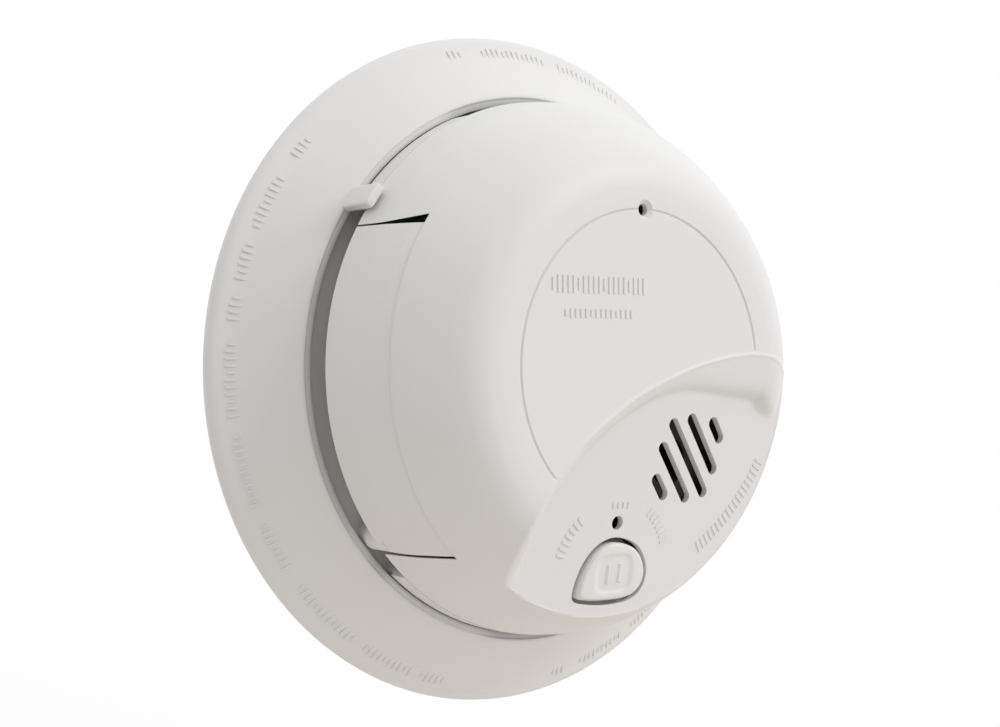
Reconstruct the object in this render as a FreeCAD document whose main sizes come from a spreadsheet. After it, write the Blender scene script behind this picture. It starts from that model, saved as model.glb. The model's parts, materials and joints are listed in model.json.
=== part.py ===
import FreeCAD, Part
import math
import os
import Sketcher

# Hard-wired smoke alarm on a twist-lock wall bracket.
# Every piece is drawn with its own Z axis pointing out of the wall, then turned
# a quarter turn about X so the front of the alarm faces -Y and +Z is up.
# Origin: centre of the bracket's back face. Lengths in millimetres.

document = FreeCAD.newDocument("smoke_alarm")
sheet = document.addObject("Spreadsheet::Sheet", "size")

sizes = {
    # bracket
    "plate_bore": 30.0, "plate_thick": 2.0, "wall_inner": 55.0, "rim_height": 15.2,
    "lock_inner": 55.3, "lock_outer": 57.3, "lock_top": 23.3, "lock_angle": 144.7,
    "lock_arc": 5.2, "screw_slot_from_centre": 43.05, "screw_slot_radius": 2.3,
    "screw_slot_straight": 3.4, "tab_inner": 51.6, "tab_low": 8.0, "tab_thick": 2.0,
    "tab_arc": 16.0, "stop_arc": 2.0, "stop_low": 5.0,
    # base housing
    "pilot_inner": 28.2, "pilot_outer": 29.95, "pilot_low": 0.4, "floor_low": 3.5,
    "floor_top": 5.5, "lower_wall_inner": 49.0, "lower_wall_outer": 51.0,
    "step_low": 11.0, "step_top": 12.5, "upper_wall_inner": 52.2,
    "upper_wall_outer": 54.2, "upper_wall_top": 19.95, "lip_outer": 55.0, "lip_low": 15.3,
    "lug_low": 5.0, "lug_thick": 2.6, "lug_arc": 15.0, "lug_inner": 50.4,
    "drawer_gap_start": 144.0, "drawer_gap_arc": 83.0,
    "notch_low": 15.25, "top_notch_start": 87.0, "top_notch_arc": 27.0,
    "bottom_notch_start": 256.0, "bottom_notch_arc": 18.0, "screw_boss_radius": 4.0,
    "screw_boss_top": 7.5, "counterbore_radius": 3.0, "counterbore_depth": 2.2,
    "clear_hole_radius": 1.6, "standoff_radius": 3.2, "standoff_hole_radius": 1.55,
    "standoff_hole_low": 4.5, "hinge_boss_radius": 2.2, "hinge_boss_top": 15.2,
    # front cover
    "skirt_rear": 20.05, "cover_thick": 2.0, "scoop_floor": 45.8, "scoop_curve": 555.0,
    "scoop_slope": 10.98, "groove_inner": 30.25, "groove_outer": 30.75,
    "groove_low": 47.5, "opening_start": 160.0, "opening_arc": 58.7,
    "opening_top": 34.9, "hinge_clearance": 3.2, "post_radius": 2.3, "post_top": 35.8,
    "pilot_hole_radius": 1.55, "pilot_hole_top": 15.0, "grille_width": 2.5,
    "alarm_light_hole": 1.4, "power_light_hole": 1.15, "power_light_rim": 2.05,
    "guide_outer": 4.4, "guide_inner": 2.55, "guide_low": 24.0, "guide_height": 6.0,
    # battery drawer
    "hinge_u": -41.1, "hinge_v": -32.2, "knuckle_radius": 2.7, "knuckle_bore": 1.25,
    "knuckle_low": 15.6, "knuckle_height": 6.4, "pin_radius": 1.2, "pin_low": 12.8,
    "pin_height": 8.6, "panel_start": 160.0, "panel_arc": 58.1, "panel_end": 26.7, "panel_height": 14.75,
    "tray_low": 15.6, "tray_thick": 1.0, "tray_sweep": 59.35, "battery_left": -39.0,
    "battery_low_end": -26.5, "battery_wide": 26.5, "battery_long": 46.0,
    "battery_thick": 17.5, "battery_back": 16.8, "stud_radius": 2.8, "stud_height": 2.4,
    "stud_spacing": 12.7,
    # board and parts on it
    "board_radius": 45.6, "board_low": 8.0, "board_thick": 1.6, "board_top": 9.6,
    "board_notch": 3.0, "screw_head_radius": 2.75, "screw_shank_radius": 1.5,
    "chamber_u": 15.5, "chamber_v": 15.0, "chamber_radius": 17.0, "chamber_top": 30.0,
    "horn_u": 16.0, "horn_v": -19.0, "horn_radius": 14.4, "horn_low": 24.0,
    "horn_top": 36.6, "alarm_light_u": -0.5, "alarm_light_v": -30.5, "power_light_v": 30.5,
    "button_u": -0.5, "button_v": -40.0, "button_gap": 1.0, "button_flange": 1.8,
    "socket_u": -3.0, "socket_v": -12.0, "socket_wide": 22.0, "socket_tall": 13.0,
    "pin_gap": 5.5,
}

# outside of the dome, from the rear edge of the skirt to the flat front face
domeProfile = [
    (54.92, 20.05), (54.3, 24.0), (53.6, 28.0), (52.5, 30.5), (51.3, 33.0), (50.0, 35.0),
    (48.0, 38.0), (46.5, 40.0), (44.8, 42.0), (43.0, 44.0), (40.8, 46.0), (38.0, 47.3),
    (34.0, 47.8),
]

# bracket section, from the back of the plate round to the inside of the rim
bracketProfile = [
    (56.4, 0.0), (56.4, 13.0), (64.2, 5.9), (67.0, 4.2), (67.8, 3.0), (67.4, 0.0),
    (69.0, 0.0), (70.3, 0.9), (71.0, 2.6), (70.8, 3.6), (70.2, 4.5), (68.6, 5.2),
    (65.7, 7.2), (57.5, 14.6), (56.65, 15.2),
]

# upper edge of the sunk part of the face, from right to left
browLine = [
    (46.0, -5.0), (39.0, 0.5), (31.4, 2.3), (24.2, 1.9), (14.7, 0.1), (7.1, -2.3),
    (-1.8, -5.8), (-8.8, -9.8), (-14.9, -13.6), (-20.2, -19.1), (-25.2, -24.5),
    (-27.4, -30.5), (-27.3, -37.4), (-25.0, -46.0),
]

# upper part of the drawer's opening, seen from the front
openingCorners = [
    (-60.0, 27.1), (-46.7, 27.1), (-41.5, 28.4), (-34.0, 28.4), (-34.0, 0.0), (-60.0, 0.0),
]

# push button, seen from the front
buttonOutline = [
    (-0.8, -34.4), (-5.1, -36.0), (-7.9, -39.7), (-9.0, -44.4), (-6.2, -45.6),
    (0.0, -46.0), (5.0, -45.6), (7.6, -43.4), (7.8, -39.9), (4.9, -36.0),
]

# sound slots over the horn: distance along the row, length
grilleSlots = [(-9.0, 6.4), (-4.5, 15.5), (0.0, 20.4), (4.5, 15.6), (9.0, 6.4)]

tabAngles = [45.0, 165.0, 285.0]
coverPostAngles = [20.0, 100.0, 240.0, 300.0]
boardScrewPoints = [(38.0, -4.0), (2.0, 40.5), (-12.0, -38.0)]
postCircle = 46.5

# inside of the dome at the same heights
liningRadii = [52.9, 52.3, 51.6, 50.4, 49.2, 47.9, 45.8, 44.2, 42.4, 40.4, 37.0, 34.5, 32.5]

for number, (radius, height) in enumerate(domeProfile):
    sizes["dome_radius_%d" % number] = radius
    sizes["dome_height_%d" % number] = height
    sizes["lining_radius_%d" % number] = liningRadii[number]
    sizes["lining_height_%d" % number] = min(height, 45.8 - 0.02 * (12 - number))
for number, (radius, height) in enumerate(bracketProfile):
    sizes["bracket_radius_%d" % number] = radius
    sizes["bracket_height_%d" % number] = height
for row, (alias, value) in enumerate(sizes.items(), start=1):
    sheet.set("A%d" % row, alias)
    sheet.set("B%d" % row, str(value))
    sheet.setAlias("B%d" % row, alias)
document.recompute()

finished = []
spots = {}


def bind(item, prop, expression):
    """Tie one property to the sheet; words are sheet names, numbers stay numbers."""
    item.setExpression(prop, expression)


def place(item, spot):
    """Bind the position of an item to three sheet expressions."""
    spots[item.Name] = spot
    for letter, expression in zip("xyz", spot):
        bind(item, "Placement.Base." + letter, expression)


def cylinder(name, radius, height, spot=("0", "0", "0")):
    item = document.addObject("Part::Cylinder", name)
    bind(item, "Radius", radius)
    bind(item, "Height", height)
    place(item, spot)
    return item


def sector(name, radius, height, low, start, arc):
    """A pie slice about the alarm's axis, counted anticlockwise from +X."""
    item = cylinder(name, radius, height, ("0", "0", low))
    bind(item, "Angle", arc)
    bind(item, "Placement.Rotation.Angle", start)
    return item


def box(name, length, width, height, spot):
    item = document.addObject("Part::Box", name)
    bind(item, "Length", length)
    bind(item, "Width", width)
    bind(item, "Height", height)
    place(item, spot)
    return item


def fuse(name, items):
    item = document.addObject("Part::MultiFuse", name)
    item.Shapes = items
    return item


def cut(name, base, tool):
    item = document.addObject("Part::Cut", name)
    item.Base = base
    item.Tool = tool
    return item


def common(name, first, second):
    item = document.addObject("Part::MultiCommon", name)
    item.Shapes = [first, second]
    return item


def ringSector(name, inner, outer, low, height, start, arc):
    """A curved block between two radii."""
    whole = sector(name + "_whole", outer, height, low, start, arc)
    core = cylinder(name + "_core", inner, height, ("0", "0", low))
    return cut(name, whole, core)


def finish(item, label):
    """Name a finished piece and stand it up in the shared frame."""
    item.Label = label
    item.Placement = FreeCAD.Placement(
        FreeCAD.Vector(0, 0, 0), FreeCAD.Rotation(FreeCAD.Vector(1, 0, 0), 90))
    if item.Name in spots:
        across, up, outward = spots[item.Name]
        place(item, (across, "-(%s)" % outward, up))
    finished.append(item)
    return item


def newBody(name):
    return document.addObject("PartDesign::Body", name)


def newSketch(body, name, role):
    sketch = body.newObject("Sketcher::SketchObject", name)
    plane = [item for item in body.Origin.OriginFeatures if item.Role == role][0]
    sketch.AttachmentSupport = [(plane, "")]
    sketch.MapMode = "FlatFace"
    return sketch


def joinEnds(sketch, count):
    """Close a chain of edges end to start."""
    for edge in range(count):
        follower = (edge + 1) % count
        sketch.addConstraint(Sketcher.Constraint("Coincident", edge, 2, follower, 1))


def tieCorner(sketch, kind, edge, axis, alias):
    """Hold one coordinate of an edge's start at a size from the sheet."""
    if alias == "zero":
        sketch.addConstraint(Sketcher.Constraint("PointOnObject", edge, 1, axis))
        return
    rule = Sketcher.Constraint(kind, -1, 1, edge, 1, sizes[alias])
    number = sketch.addConstraint(rule)
    bind(sketch, "Constraints[%d]" % number, "size." + alias)


def lookUp(alias):
    return 0.0 if alias == "zero" else sizes[alias]


def turnedBody(name, corners):
    """Revolve a closed section; each corner is a radius name and a height name."""
    body = newBody(name)
    sketch = newSketch(body, name + "_section", "XZ_Plane")
    points = [FreeCAD.Vector(lookUp(a), lookUp(b), 0) for a, b in corners]
    for start, end in zip(points, points[1:] + points[:1]):
        sketch.addGeometry(Part.LineSegment(start, end), False)
    joinEnds(sketch, len(points))
    for edge, (radius, height) in enumerate(corners):
        tieCorner(sketch, "DistanceX", edge, -2, radius)
        tieCorner(sketch, "DistanceY", edge, -1, height)
    document.recompute()
    turn = body.newObject("PartDesign::Revolution", name + "_turn")
    turn.Profile = sketch
    turn.ReferenceAxis = (sketch, ["V_Axis"])
    turn.Angle = 360.0
    return body


def addCurve(sketch, points, closed):
    """Put a smooth curve through the points."""
    curve = Part.BSplineCurve()
    vectors = [FreeCAD.Vector(x, y, 0) for x, y in points]
    curve.interpolate(Points=vectors, PeriodicFlag=closed)
    return sketch.addGeometry(curve, False)


def padBody(name, drawOutline, low, height):
    """Pad an outline by a sheet height, starting at a sheet level."""
    body = newBody(name)
    sketch = newSketch(body, name + "_outline", "XY_Plane")
    drawOutline(sketch)
    bind(sketch, "AttachmentOffset.Base.z", low)
    document.recompute()
    pad = body.newObject("PartDesign::Pad", name + "_pad")
    pad.Profile = sketch
    bind(pad, "Length", height)
    return body


def polar(radius, angle):
    turned = math.radians(angle)
    return radius * math.cos(turned), radius * math.sin(turned)


def text(number):
    return "%.4f" % number


# ---- mounting bracket -------------------------------------------------------
def makeBracket():
    corners = [("plate_bore", "zero")]
    for number in range(len(bracketProfile)):
        height = "bracket_height_%d" % number
        corners.append(("bracket_radius_%d" % number, height if sizes[height] else "zero"))
    corners.append(("wall_inner", "rim_height"))
    corners.append(("wall_inner", "plate_thick"))
    corners.append(("plate_bore", "plate_thick"))
    ring = turnedBody("bracket_ring", corners)
    added = [ring, ringSector("bracket_lock", "size.lock_inner", "size.lock_outer",
                              "size.plate_thick", "size.lock_top - size.plate_thick",
                              "size.lock_angle - size.lock_arc / 2", "size.lock_arc")]
    for number, angle in enumerate(tabAngles):
        tabStart = "%s - size.tab_arc / 2" % text(angle)
        added.append(ringSector("bracket_tab_%d" % number, "size.tab_inner", "size.wall_inner + 0.6",
                                "size.tab_low", "size.tab_thick", tabStart, "size.tab_arc"))
        added.append(ringSector("bracket_stop_%d" % number, "size.tab_inner",
                                "size.wall_inner + 0.6", "size.stop_low",
                                "size.tab_low + size.tab_thick - size.stop_low",
                                tabStart + " - size.stop_arc", "size.stop_arc"))
    holes = []
    for number, side in enumerate((-1.0, 1.0)):
        middle = "%s * size.screw_slot_from_centre" % text(side)
        for end in (-0.5, 0.5):
            spot = ("%s + %s * size.screw_slot_straight" % (middle, text(end)), "0", "-1")
            holes.append(cylinder("bracket_slot_end_%d_%d" % (number, end > 0),
                                  "size.screw_slot_radius", "size.plate_thick + 2", spot))
        holes.append(box("bracket_slot_%d" % number, "size.screw_slot_straight",
                         "2 * size.screw_slot_radius", "size.plate_thick + 2",
                         (middle + " - size.screw_slot_straight / 2",
                          "-size.screw_slot_radius", "-1")))
    solid = fuse("bracket_solid", added)
    finish(cut("bracket_cut", solid, fuse("bracket_holes", holes)), "mounting_bracket")


# ---- base housing -----------------------------------------------------------
def makeBase():
    corners = [
        ("zero", "floor_low"), ("pilot_inner", "floor_low"), ("pilot_inner", "pilot_low"),
        ("pilot_outer", "pilot_low"), ("pilot_outer", "floor_low"),
        ("lower_wall_outer", "floor_low"), ("lower_wall_outer", "step_low"),
        ("upper_wall_outer", "step_low"), ("upper_wall_outer", "lip_low"),
        ("lip_outer", "lip_low"), ("lip_outer", "upper_wall_top"),
        ("upper_wall_inner", "upper_wall_top"), ("upper_wall_inner", "step_top"),
        ("lower_wall_inner", "step_top"), ("lower_wall_inner", "floor_top"),
        ("zero", "floor_top"),
    ]
    pan = turnedBody("base_pan", corners)
    gaps = [
        sector("base_drawer_gap", "60", "20", "size.step_top", "size.drawer_gap_start",
               "size.drawer_gap_arc"),
        sector("base_top_notch", "60", "20", "size.notch_low", "size.top_notch_start",
               "size.top_notch_arc"),
        sector("base_bottom_notch", "60", "20", "size.notch_low", "size.bottom_notch_start",
               "size.bottom_notch_arc"),
        box("base_socket_opening", "size.socket_wide + 1", "size.socket_tall + 1", "10",
            ("size.socket_u - size.socket_wide / 2 - 0.5",
             "size.socket_v - size.socket_tall / 2 - 0.5", "0")),
    ]
    added = [cut("base_open", pan, fuse("base_gaps", gaps))]
    holes = []
    for number, angle in enumerate(tabAngles):
        added.append(ringSector("base_lug_%d" % number, "size.lug_inner", "size.upper_wall_outer",
                                "size.lug_low", "size.lug_thick",
                                "%s - size.lug_arc / 2" % text(angle), "size.lug_arc"))
    for number, angle in enumerate(coverPostAngles):
        x, y = polar(postCircle, angle)
        spot = (text(x), text(y))
        added.append(cylinder("base_boss_%d" % number, "size.screw_boss_radius",
                              "size.screw_boss_top - size.floor_low", spot + ("size.floor_low",)))
        holes.append(cylinder("base_boss_hole_%d" % number, "size.clear_hole_radius", "20",
                              spot + ("0",)))
        holes.append(cylinder("base_counterbore_%d" % number, "size.counterbore_radius",
                              "size.counterbore_depth + 2", spot + ("size.floor_low - 2",)))
    for number, (x, y) in enumerate(boardScrewPoints):
        spot = (text(x), text(y))
        added.append(cylinder("base_standoff_%d" % number, "size.standoff_radius",
                              "size.board_low - size.floor_low", spot + ("size.floor_low",)))
        holes.append(cylinder("base_standoff_hole_%d" % number, "size.standoff_hole_radius", "10",
                              spot + ("size.standoff_hole_low",)))
    hinge = ("size.hinge_u", "size.hinge_v")
    added.append(cylinder("base_hinge_boss", "size.hinge_boss_radius",
                          "size.hinge_boss_top - size.step_low", hinge + ("size.step_low",)))
    holes.append(cylinder("base_hinge_hole", "size.knuckle_bore", "10", hinge + ("size.pin_low",)))
    solid = fuse("base_solid", added)
    finish(cut("base_cut", solid, fuse("base_holes", holes)), "base_housing")
    finish(cylinder("hinge_pin", "size.pin_radius", "size.pin_height",
                    hinge + ("size.pin_low",)), "drawer_hinge_pin")


# ---- dome shell shared by the cover and the drawer panel --------------------
def domeCorners(prefix):
    corners = []
    for number in range(len(domeProfile)):
        corners.append(("%s_radius_%d" % (prefix, number), "%s_height_%d" % (prefix, number)))
    corners.append(("zero", "%s_height_%d" % (prefix, len(domeProfile) - 1)))
    corners.append(("zero", "%s_height_0" % prefix))
    return corners


def browOutline(sketch):
    """The sunk area: a smooth upper edge closed well outside the dome."""
    corners = [browLine[-1], (-25.0, -70.0), (70.0, -70.0), (70.0, -5.0), browLine[0]]
    addCurve(sketch, browLine, False)
    for start, end in zip(corners, corners[1:]):
        sketch.addGeometry(Part.LineSegment(FreeCAD.Vector(*start, 0), FreeCAD.Vector(*end, 0)),
                           False)
    joinEnds(sketch, len(corners))


def scoopTool(name, drop, sideways):
    """What is taken out of the face above the sloping, slightly crowned floor."""
    prism = padBody(name + "_prism", browOutline, "20", "40")
    place(prism, (text(-sideways), text(sideways), "0"))
    crown = document.addObject("Part::Cylinder", name + "_crown")
    bind(crown, "Radius", "size.scoop_curve")
    crown.Height = 400
    slope = math.radians(sizes["scoop_slope"])
    along = FreeCAD.Vector(0, math.cos(slope), math.sin(slope))
    upward = FreeCAD.Vector(0, -math.sin(slope), math.cos(slope))
    top = FreeCAD.Vector(0, 0, sizes["scoop_floor"] - drop)
    crown.Placement = FreeCAD.Placement(
        top - upward * sizes["scoop_curve"] - along * 200,
        FreeCAD.Rotation(FreeCAD.Vector(0, 0, 1), along))
    return cut(name, prism, crown)


def grilleOutline(sketch):
    """Five round-ended slots side by side."""
    along = FreeCAD.Vector(0.61, -0.79, 0).normalize()
    across = FreeCAD.Vector(-along.y, along.x, 0)
    middle = FreeCAD.Vector(16.9, -18.4, 0)
    half = sizes["grille_width"] / 2
    for offset, length in grilleSlots:
        centre = middle + across * offset
        reach = along * (length / 2 - half)
        first, last = centre + reach, centre - reach
        side = across * half
        start = len(sketch.Geometry)
        sketch.addGeometry(Part.LineSegment(first + side, last + side), False)
        sketch.addGeometry(Part.Arc(last + side, last - along * half, last - side), False)
        sketch.addGeometry(Part.LineSegment(last - side, first - side), False)
        sketch.addGeometry(Part.Arc(first - side, first + along * half, first + side), False)


def grownButton(sketch, growth):
    """The button's outline opened out by a distance."""
    middle = FreeCAD.Vector(sizes["button_u"], sizes["button_v"], 0)
    opened = []
    for x, y in buttonOutline:
        away = FreeCAD.Vector(x, y, 0) - middle
        grown = middle + away * (1 + growth / away.Length)
        opened.append((grown.x, grown.y))
    addCurve(sketch, opened, True)


def buttonHoleOutline(sketch):
    grownButton(sketch, sizes["button_gap"])


def buttonFlangeOutline(sketch):
    grownButton(sketch, sizes["button_flange"])


def openingOutline(sketch):
    """Upper part of the drawer's opening, with the finger slit that widens inwards."""
    points = [FreeCAD.Vector(x, y, 0) for x, y in openingCorners]
    for start, end in zip(points, points[1:] + points[:1]):
        sketch.addGeometry(Part.LineSegment(start, end), False)
    joinEnds(sketch, len(points))


def makeCover():
    outer = turnedBody("dome_outer", domeCorners("dome"))
    inner = turnedBody("dome_inner", domeCorners("lining"))
    skin = cut("dome_skin", outer, inner)
    outerScoop = scoopTool("scoop_outer", 0.0, 0.0)
    innerScoop = scoopTool("scoop_inner", sizes["cover_thick"], 1.6)
    carved = cut("cover_outside", outer, outerScoop)
    hollow = cut("cover_inside", inner, innerScoop)
    added = [cut("cover_skin", carved, hollow)]
    holes = []
    for number, angle in enumerate(coverPostAngles):
        x, y = polar(postCircle, angle)
        spot = (text(x), text(y), "size.screw_boss_top")
        added.append(cylinder("cover_post_%d" % number, "size.post_radius",
                              "size.post_top - size.screw_boss_top", spot))
        holes.append(cylinder("cover_pilot_hole_%d" % number, "size.pilot_hole_radius",
                              "size.pilot_hole_top - size.screw_boss_top", spot))
    button = ("size.button_u", "size.button_v")
    added.append(cylinder("cover_guide", "size.guide_outer", "size.guide_height",
                          button + ("size.guide_low",)))
    added.append(box("cover_guide_web", "1.5", "9", "size.guide_height",
                     ("size.button_u - 0.75", "-52.5", "size.guide_low")))
    holes.append(cylinder("cover_guide_bore", "size.guide_inner", "20",
                          button + ("size.guide_low - 5",)))
    holes.append(padBody("cover_button_hole", buttonHoleOutline, "30", "20"))
    holes.append(padBody("cover_grille", grilleOutline, "36", "14"))
    holes.append(cylinder("cover_alarm_light", "size.alarm_light_hole", "20",
                          ("size.alarm_light_u", "size.alarm_light_v", "34")))
    holes.append(cylinder("cover_power_light", "size.power_light_hole", "10",
                          ("0", "size.power_light_v", "44")))
    sunk = document.addObject("Part::Cone", "cover_power_sink")
    bind(sunk, "Radius1", "size.power_light_hole")
    bind(sunk, "Radius2", "size.power_light_rim")
    sunk.Height = 0.75
    place(sunk, ("0", "size.power_light_v", "47.06"))
    holes.append(sunk)
    groove = cut("cover_groove",
                 cylinder("cover_groove_outer", "size.groove_outer", "2", ("0", "0", "size.groove_low")),
                 cylinder("cover_groove_inner", "size.groove_inner", "2", ("0", "0", "size.groove_low")))
    holes.append(groove)
    holes.append(sector("cover_drawer_opening", "60", "size.opening_top", "0",
                        "size.opening_start", "size.opening_arc"))
    holes.append(padBody("cover_upper_slit", openingOutline, "0", "size.opening_top"))
    holes.append(box("cover_lower_slit", "7.8", "8.4", "size.opening_top",
                     ("-42.8", "-35.4", "0")))
    holes.append(cylinder("cover_hinge_relief", "size.hinge_clearance", "size.opening_top",
                          ("size.hinge_u", "size.hinge_v", "0")))
    solid = fuse("cover_solid", added)
    finish(cut("cover_cut", solid, fuse("cover_holes", holes)), "front_cover")
    return skin


# ---- battery drawer ---------------------------------------------------------
def makeDrawer(skin):
    hinge = ("size.hinge_u", "size.hinge_v")
    zone = fuse("panel_zone", [
        sector("panel_sector", "60", "size.panel_height", "size.skirt_rear", "size.panel_start",
               "size.panel_arc"),
        cylinder("panel_hinge_end", "size.knuckle_radius", "size.panel_height",
                 hinge + ("size.skirt_rear",)),
        box("panel_upper_end", "26", "size.panel_end", "size.panel_height",
            ("-60", "0", "size.skirt_rear")),
        box("panel_straight_end", "5.3", "5", "size.panel_height",
            ("size.hinge_u", "size.hinge_v - size.knuckle_radius", "size.skirt_rear"))])
    panel = common("drawer_panel", skin, zone)
    left = "size.battery_left"
    lowEnd = "size.battery_low_end"
    tray = fuse("tray_whole", [
        box("tray_floor", "29.4", "47.6", "size.tray_thick", (left + " - 1.6", lowEnd + " - 0.4",
                                                              "size.tray_low")),
        box("tray_outer_wall", "1.2", "47.6", "13", (left + " - 1.5", lowEnd + " - 0.4",
                                                     "size.tray_low")),
        box("tray_inner_wall", "1.0", "40", "8", (left + " + 26.8", lowEnd + " - 0.4",
                                                  "size.tray_low")),
        box("tray_far_wall", "37.5", "1.2", "9.4", ("-46.8", "19.8", "size.tray_low + 5")),
        box("tray_far_foot", "28", "1.2", "7", (left + " - 1.6", "19.8", "size.tray_low")),
        box("tray_near_web", "7", "1.4", "9", ("-47.2", "-20", "size.tray_low + 6")),
        box("tray_middle_web", "11.5", "1.4", "9", ("-51.8", "0", "size.tray_low + 6")),
        box("tray_arm", "3.1", "6.6", "6.4", ("size.hinge_u - 1.3", "size.hinge_v",
                                              "size.knuckle_low"))])
    trimmed = common("tray_trimmed", tray,
                     cylinder("tray_sweep_limit", "size.tray_sweep", "40", hinge + ("0",)))
    knuckle = cylinder("drawer_knuckle", "size.knuckle_radius", "size.knuckle_height",
                       hinge + ("size.knuckle_low",))
    bore = cylinder("drawer_knuckle_bore", "size.knuckle_bore", "size.knuckle_height - 0.4",
                    hinge + ("size.knuckle_low - 0.1",))
    solid = fuse("drawer_solid", [panel, trimmed, knuckle])
    finish(cut("drawer_cut", solid, bore), "battery_drawer")


def makeBattery():
    block = box("battery_block", "size.battery_wide", "size.battery_long", "size.battery_thick",
                ("size.battery_left", "size.battery_low_end", "size.battery_back"))
    finish(block, "battery_case")
    studs = []
    for number, side in enumerate((-0.5, 0.5)):
        stud = cylinder("battery_stud_%d" % number, "size.stud_radius", "size.stud_height")
        stud.Placement.Rotation = FreeCAD.Rotation(FreeCAD.Vector(1, 0, 0), 90)
        across = "size.battery_left + size.battery_wide / 2 + %s * size.stud_spacing" % text(side)
        place(stud, (across, "size.battery_low_end",
                     "size.battery_back + size.battery_thick / 2"))
        studs.append(stud)
    finish(fuse("battery_stud_pair", studs), "battery_terminals")
    leaves = []
    for number, side in enumerate((-0.5, 0.5)):
        across = "size.battery_left + size.battery_wide / 2 + %s * size.stud_spacing" % text(side)
        leaves.append(box("contact_leaf_%d" % number, "3.6", "0.4", "18",
                          (across + " - 1.8", "-29.8", "size.board_top")))
    finish(fuse("contact_leaf_pair", leaves), "battery_contacts")


# ---- test button ------------------------------------------------------------
def buttonFace(sketch):
    addCurve(sketch, buttonOutline, True)


def makeButton():
    cap = padBody("button_cap", buttonFace, "32.6", "9")
    slope = sizes["scoop_slope"]
    shave = document.addObject("Part::Box", "button_shave")
    shave.Length = 40
    shave.Width = 60
    shave.Height = 20
    turned = FreeCAD.Rotation(FreeCAD.Vector(1, 0, 0), slope)
    level = FreeCAD.Vector(0, 0, sizes["scoop_floor"] + 0.7)
    shave.Placement = FreeCAD.Placement(level + turned.multVec(FreeCAD.Vector(-20, -58, 0)), turned)
    dish = document.addObject("Part::Sphere", "button_dish")
    dish.Radius = 22
    place(dish, ("size.button_u", "size.button_v", "60.1"))
    topped = cut("button_topped", cap, fuse("button_top_tools", [shave, dish]))
    flange = padBody("button_flange", buttonFlangeOutline, "32.4", "1.2")
    stem = cylinder("button_stem", "size.guide_inner - 0.05", "10.6",
                    ("size.button_u", "size.button_v", "22.1"))
    finish(fuse("button_solid", [topped, flange, stem]), "test_button")


# ---- circuit board and what stands on it ------------------------------------
def makeBoard():
    holes = []
    for number, angle in enumerate(coverPostAngles):
        x, y = polar(postCircle, angle)
        holes.append(cylinder("board_notch_%d" % number, "size.board_notch", "10",
                              (text(x), text(y), "4")))
    for number, (x, y) in enumerate(boardScrewPoints):
        holes.append(cylinder("board_screw_hole_%d" % number, "size.clear_hole_radius", "10",
                              (text(x), text(y), "4")))
    for number, side in enumerate((-1, 0, 1)):
        across = "size.socket_u + %s * size.pin_gap" % text(side)
        holes.append(cylinder("board_pin_hole_%d" % number, "0.7", "10",
                              (across, "size.socket_v", "4")))
    disc = cylinder("board_disc", "size.board_radius", "size.board_thick",
                    ("0", "0", "size.board_low"))
    finish(cut("board_cut", disc, fuse("board_holes", holes)), "circuit_board")


def screwSet(name, label, spots, headLow, shankLow, shankHeight):
    """The same pan-head screw at several places."""
    parts = []
    for number, (x, y) in enumerate(spots):
        parts.append(cylinder("%s_head_%d" % (name, number), "size.screw_head_radius", "1.8",
                              (text(x), text(y), headLow)))
        parts.append(cylinder("%s_shank_%d" % (name, number), "size.screw_shank_radius",
                              shankHeight, (text(x), text(y), shankLow)))
    finish(fuse(name + "_set", parts), label)


def makeScrews():
    coverSpots = [polar(postCircle, angle) for angle in coverPostAngles]
    screwSet("cover_screw", "cover_screws", coverSpots, "size.floor_low + 0.3",
             "size.floor_low + 1", "9.5")
    screwSet("board_screw", "board_screws", boardScrewPoints, "size.board_top",
             "size.board_top - 4.4", "5")


def makeChamber():
    centre = ("size.chamber_u", "size.chamber_v")
    finish(cylinder("chamber_foot", "size.chamber_radius", "2.4", centre + ("size.board_top",)),
           "chamber_base")
    holder = cylinder("holder_body", "5", "3", centre + ("12",))
    recess = cylinder("holder_recess", "2.6", "1", centre + ("14.4",))
    finish(cut("holder_cut", holder, recess), "source_holder")
    finish(cylinder("source", "2.5", "0.4", centre + ("14.4",)), "source_disc")
    plate = cylinder("collector_disc", "12", "0.6", centre + ("20",))
    window = cylinder("collector_window", "4", "2", centre + ("19",))
    legs = []
    for number, angle in enumerate((90.0, 210.0, 330.0)):
        x, y = polar(10.5, angle)
        legs.append(cylinder("collector_leg_%d" % number, "0.8", "8.2",
                             (centre[0] + " + " + text(x), centre[1] + " + " + text(y), "12")))
    finish(fuse("collector_solid", [cut("collector_cut", plate, window)] + legs),
           "collector_plate")
    can = cylinder("can_outer", "size.chamber_radius", "size.chamber_top - 12", centre + ("12",))
    inside = cylinder("can_inner", "size.chamber_radius - 0.8", "size.chamber_top - 12.8",
                      centre + ("12",))
    tools = [inside]
    for number in range(6):
        slot = document.addObject("Part::Box", "can_slot_%d" % number)
        slot.Length = 40
        slot.Width = 4
        slot.Height = 7
        turned = FreeCAD.Rotation(FreeCAD.Vector(0, 0, 1), 30.0 * number)
        middle = FreeCAD.Vector(sizes["chamber_u"], sizes["chamber_v"], 19)
        slot.Placement = FreeCAD.Placement(middle + turned.multVec(FreeCAD.Vector(-20, -2, 0)),
                                           turned)
        tools.append(slot)
    finish(cut("can_cut", can, fuse("can_tools", tools)), "chamber_cover")
    outer = cylinder("screen_outer", "size.chamber_radius + 0.7", "19", centre + ("size.board_top",))
    inner = cylinder("screen_inner", "size.chamber_radius + 0.3", "21", centre + ("size.board_top - 1",))
    finish(cut("screen_cut", outer, inner), "insect_screen")


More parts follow.
